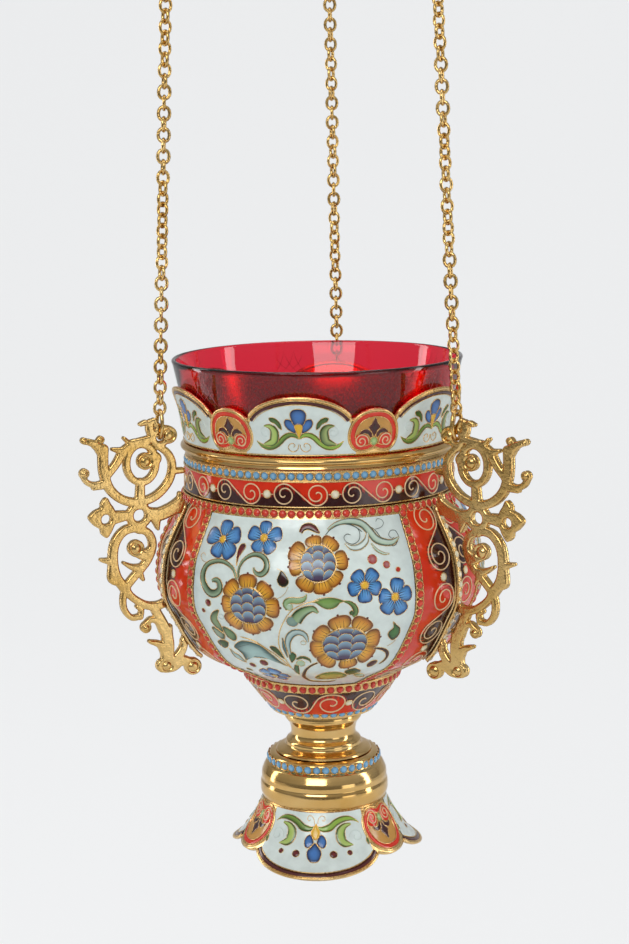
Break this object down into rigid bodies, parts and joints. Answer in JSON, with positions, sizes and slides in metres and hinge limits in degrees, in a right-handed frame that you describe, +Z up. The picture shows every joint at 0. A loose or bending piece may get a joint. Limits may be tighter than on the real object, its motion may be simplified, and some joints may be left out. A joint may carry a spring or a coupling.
{
  "type": "vigil lamp",
  "caption": "Hanging vigil lamp: red glass cup in an enamelled brass bowl on a small foot, with openwork scroll brackets and chains to a ring.",
  "frame": {"origin": "middle of the hanging ring's wire at its top, where the lamp is held up; it lies on the lamp's own axis", "axes": "+Z up along the lamp's axis; the front enamel panel faces -Y, the back bracket and chain stand at +Y"},
  "size_m": [0.15, 0.1428, 0.3527],
  "materials": {
    "gilt_brass": "polished gilding",
    "enamel_white": "glossy painted enamel on metal",
    "enamel_red": "glossy cell enamel on metal",
    "ruby_glass": "clear ruby glass, lightly engraved",
    "cork": "plain cork",
    "cotton": "cotton wick"
  },
  "bodies": {
    "ring": {"hanging_ring": "gilt_brass"},
    "hanger": {"hanger": "gilt_brass", "eye_bolt": "gilt_brass", "hanger_nut": "gilt_brass"},
    "chain_back": {"chain_back": "gilt_brass", "jump_ring_back": "gilt_brass", "top_ring_back": "gilt_brass"},
    "chain_left": {"chain_left": "gilt_brass", "jump_ring_left": "gilt_brass", "top_ring_left": "gilt_brass"},
    "chain_right": {"chain_right": "gilt_brass", "jump_ring_right": "gilt_brass", "top_ring_right": "gilt_brass"},
    "lamp": {"crown": "enamel_white", "collar": "gilt_brass", "upper_band": "enamel_red", "bowl": "enamel_white", "lower_band": "enamel_red", "stem": "gilt_brass", "dome": "gilt_brass", "foot_skirt": "enamel_white", "tie_rod": "gilt_brass", "clamp_disc": "gilt_brass", "foot_nut": "gilt_brass", "rib_back": "gilt_brass", "rib_left": "gilt_brass", "rib_right": "gilt_brass", "bracket_back": "gilt_brass", "bracket_left": "gilt_brass", "bracket_right": "gilt_brass"},
    "glass": {"glass_cup": "ruby_glass"},
    "float": {"float_cork": "cork", "float_tube": "gilt_brass", "wick": "cotton"}
  },
  "joints": [
    {"name": "hanger_swing", "type": "hinge", "parent": "ring", "child": "hanger", "pos_m": [0, 0, -0.024], "axis": [1, 0, 0], "range_deg": [-20, 20]},
    {"name": "lamp_sway", "type": "hinge", "parent": "hanger", "child": "chain_back", "pos_m": [0, 0.0504, -0.0455], "axis": [0, 1, 0], "range_deg": [-4, 4]},
    {"name": "left_chain_sway", "type": "hinge", "parent": "hanger", "child": "chain_left", "pos_m": [-0.04365, -0.0252, -0.0455], "axis": [0, 1, 0], "range_deg": [-4.2, 4.2]},
    {"name": "right_chain_sway", "type": "hinge", "parent": "hanger", "child": "chain_right", "pos_m": [0.04365, -0.0252, -0.0455], "axis": [0, 1, 0], "range_deg": [-4.2, 4.2]},
    {"name": "lamp_level", "type": "hinge", "parent": "chain_back", "child": "lamp", "pos_m": [0, 0.0576, -0.19973], "axis": [0, 1, 0], "range_deg": [-3.7, 3.7]},
    {"name": "glass_lift", "type": "slide", "parent": "lamp", "child": "glass", "axis": [0, 0, 1], "range_m": [0, 0.022]},
    {"name": "float_lift", "type": "slide", "parent": "glass", "child": "float", "axis": [0, 0, 1], "range_m": [0, 0.06]}
  ],
  "couplings": [
    {"joint": "left_chain_sway", "follows": "lamp_sway", "ratio": 1},
    {"joint": "right_chain_sway", "follows": "lamp_sway", "ratio": 1},
    {"joint": "lamp_level", "follows": "lamp_sway", "ratio": -0.875}
  ]
}
